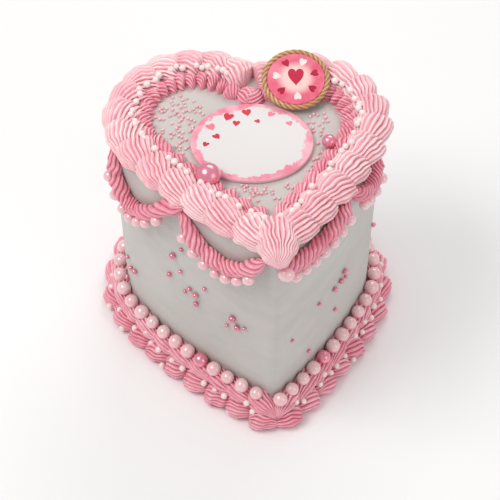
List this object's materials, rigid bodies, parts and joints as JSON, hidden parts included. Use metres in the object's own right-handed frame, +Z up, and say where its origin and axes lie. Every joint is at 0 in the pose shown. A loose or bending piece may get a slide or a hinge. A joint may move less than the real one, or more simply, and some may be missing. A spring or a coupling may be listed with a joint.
{
  "type": "heart shaped cake",
  "caption": "Tall heart shaped cake in smooth grey icing with piped pink shell borders, swags, sugar pearls, an oval plaque and a round topper.",
  "frame": {"origin": "middle of the cake's bounding box in plan, on the surface that it stands on", "axes": "+Z up; the heart's tip points towards -Y and its two lobes lie to +Y; +X is to the right seen from the tip"},
  "size_m": [0.2112, 0.2006, 0.2032],
  "materials": {
    "grey_icing": "smooth grey buttercream, satin, a little uneven",
    "pale_pink_icing": "pale pink piped buttercream, soft sheen",
    "rose_icing": "rose pink piped buttercream, soft sheen",
    "plaque_sugar": "smooth printed sugar sheet, white with a pink rim",
    "topper_sugar": "smooth printed sugar disc, pink",
    "tan_icing": "tan piped rope icing, soft sheen",
    "metallic_pink": "pearly metallic pink sugar coating"
  },
  "bodies": {
    "root": {"cake_body": "grey_icing", "top_border": "pale_pink_icing", "base_border": "rose_icing", "swag_front_left": "rose_icing", "swag_front_right": "rose_icing", "swag_side_left": "rose_icing", "swag_side_right": "rose_icing", "swag_lobe_left": "rose_icing", "swag_lobe_right": "rose_icing", "swag_back_left": "rose_icing", "swag_back_right": "rose_icing", "plaque": "plaque_sugar", "topper_disc": "topper_sugar", "topper_rope": "tan_icing", "ball_large": "metallic_pink", "ball_small": "metallic_pink"}
  },
  "joints": []
}
